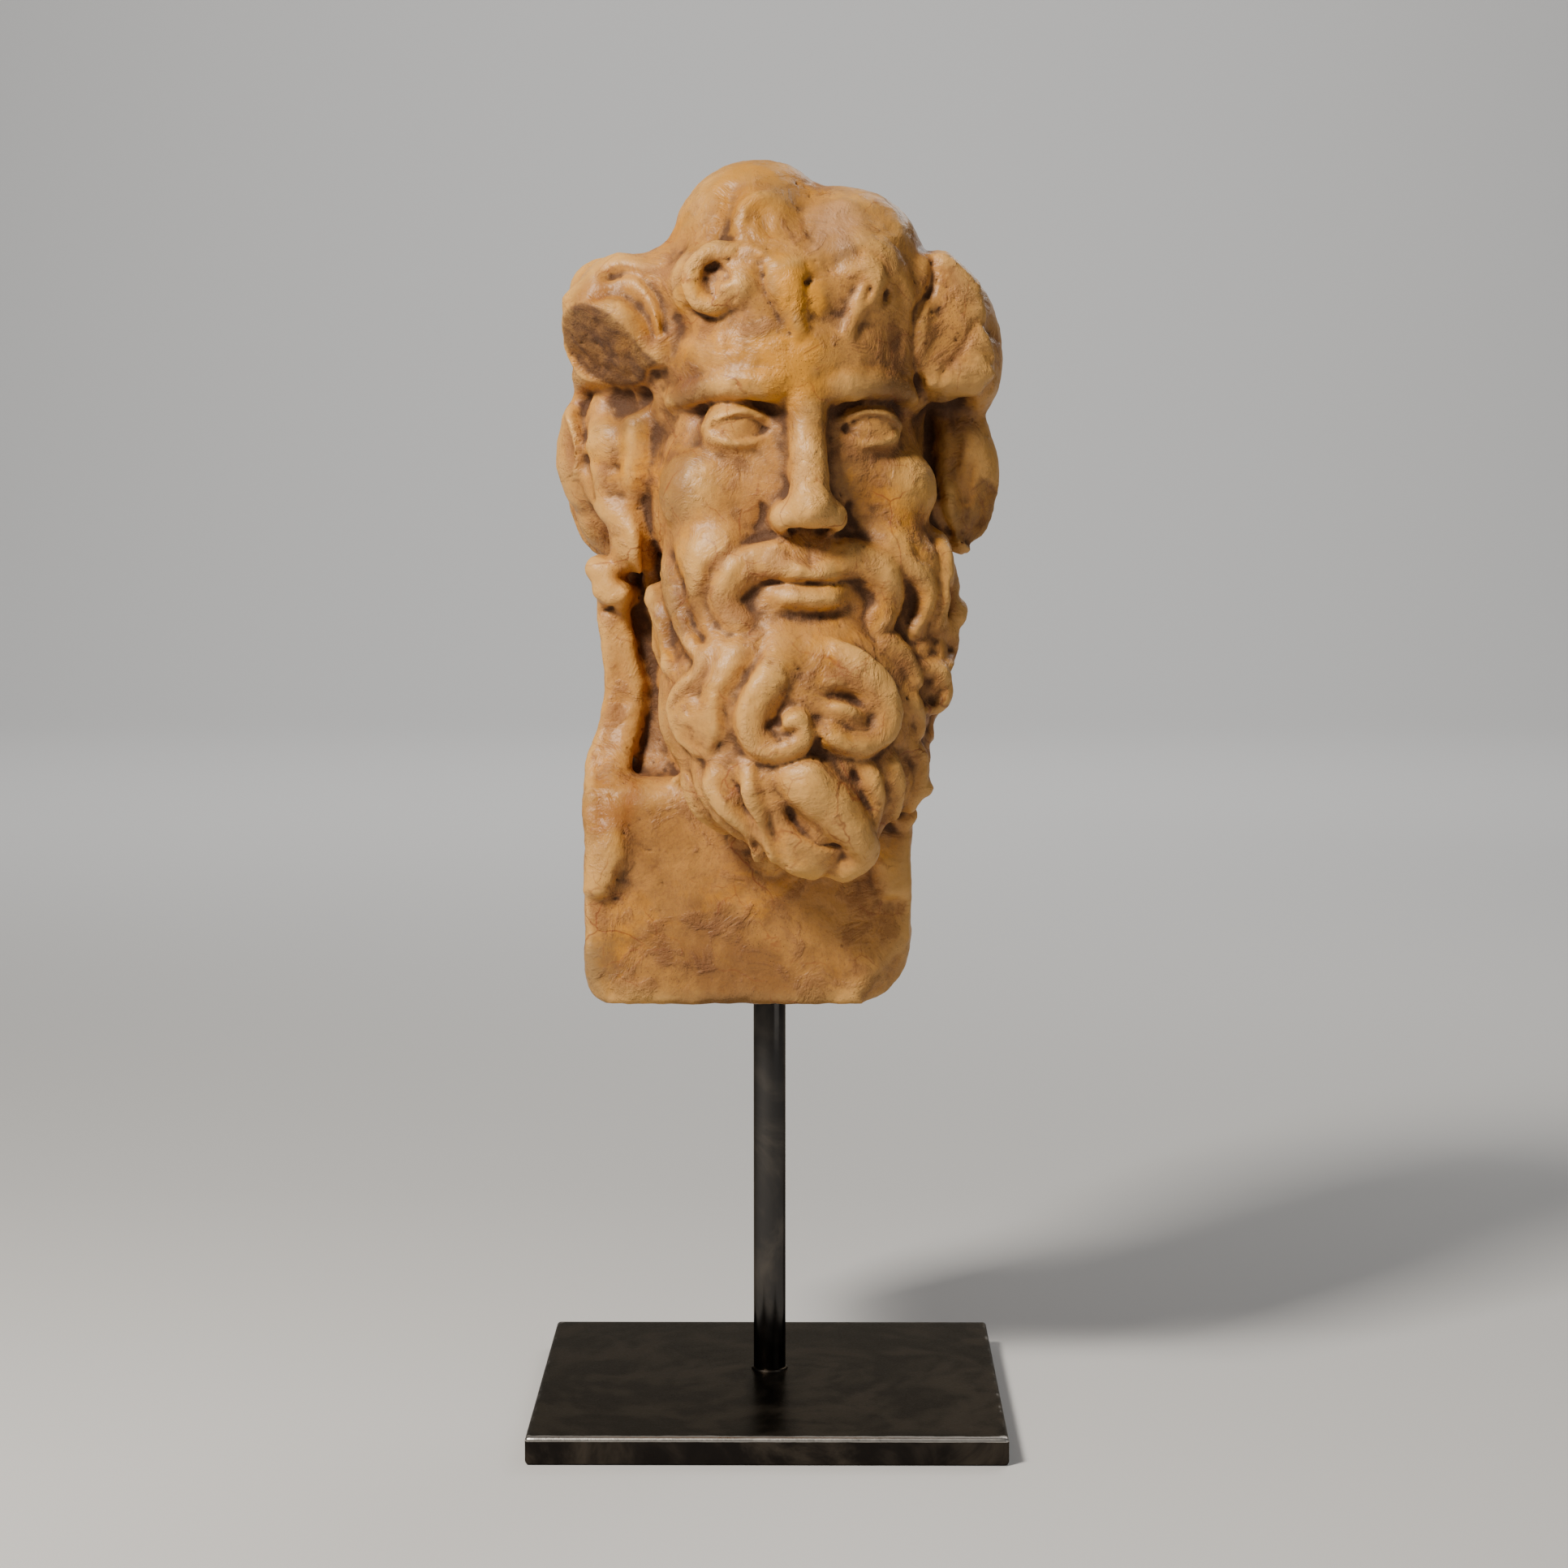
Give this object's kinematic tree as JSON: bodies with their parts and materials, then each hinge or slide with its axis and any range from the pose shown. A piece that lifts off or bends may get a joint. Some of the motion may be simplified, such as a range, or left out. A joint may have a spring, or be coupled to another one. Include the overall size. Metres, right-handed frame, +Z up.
{
  "type": "roman herm",
  "caption": "Small marble herm head of a bearded, wreathed figure on a short pillar, held on a steel rod in a square base plate.",
  "frame": {"origin": "centre of the base plate's underside", "axes": "+Z up through the plate and the rod, -Y out of the herm's front, +X to the right as one faces the front"},
  "size_m": [0.0855, 0.087, 0.2292],
  "materials": {
    "yellow_marble": "worn and softly polished yellow marble, honey to orange on the high parts and purple brown in the hollows",
    "polished_steel": "polished dark steel",
    "dark_steel": "dark waxed steel, rubbed bright along the upper edges"
  },
  "bodies": {
    "root": {"herm": "yellow_marble", "mount_rod": "polished_steel", "base_plate": "dark_steel"}
  },
  "joints": []
}
